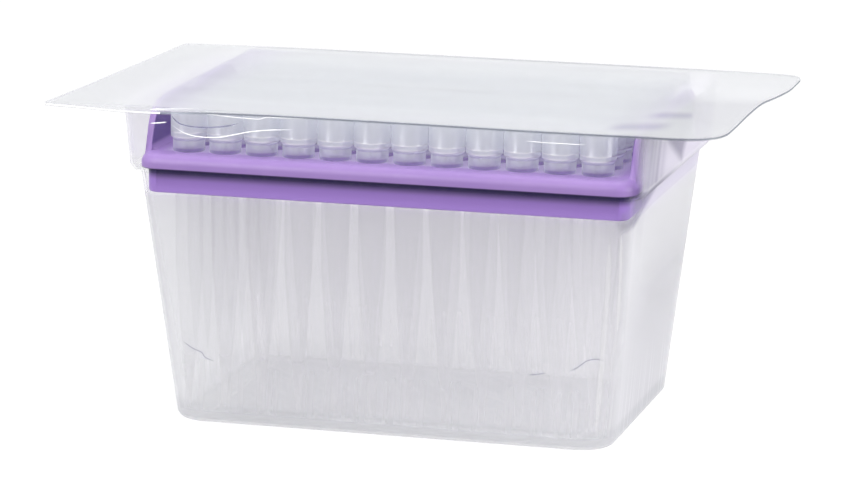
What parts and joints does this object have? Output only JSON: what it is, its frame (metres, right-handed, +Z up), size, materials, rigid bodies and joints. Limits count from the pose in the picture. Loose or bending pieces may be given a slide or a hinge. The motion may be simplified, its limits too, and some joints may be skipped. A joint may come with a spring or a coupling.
{
  "type": "pipette tip refill pack",
  "caption": "Clear thermoformed tray with a wide flange and a thin sealed film lid, holding pipette tips that stand in a purple moulded plate.",
  "frame": {"origin": "middle of the base, on the plane the tray's foot rests on", "axes": "+X along the long side, to the right when seen from the front; +Y from the front to the back; +Z up"},
  "size_m": [0.1664, 0.0952, 0.0777],
  "materials": {
    "tray_plastic": "clear, glossy thermoformed sheet",
    "lid_film": "thin, slightly milky film",
    "plate_plastic": "satin moulded plastic",
    "tip_plastic": "translucent natural plastic"
  },
  "bodies": {
    "root": {"tray": "tray_plastic", "lid_film": "lid_film", "tip_plate": "plate_plastic", "tips_column_01": "tip_plastic", "tips_column_02": "tip_plastic", "tips_column_03": "tip_plastic", "tips_column_04": "tip_plastic", "tips_column_05": "tip_plastic", "tips_column_06": "tip_plastic", "tips_column_07": "tip_plastic", "tips_column_08": "tip_plastic", "tips_column_09": "tip_plastic", "tips_column_10": "tip_plastic", "tips_column_11": "tip_plastic", "tips_column_12": "tip_plastic"}
  },
  "joints": []
}
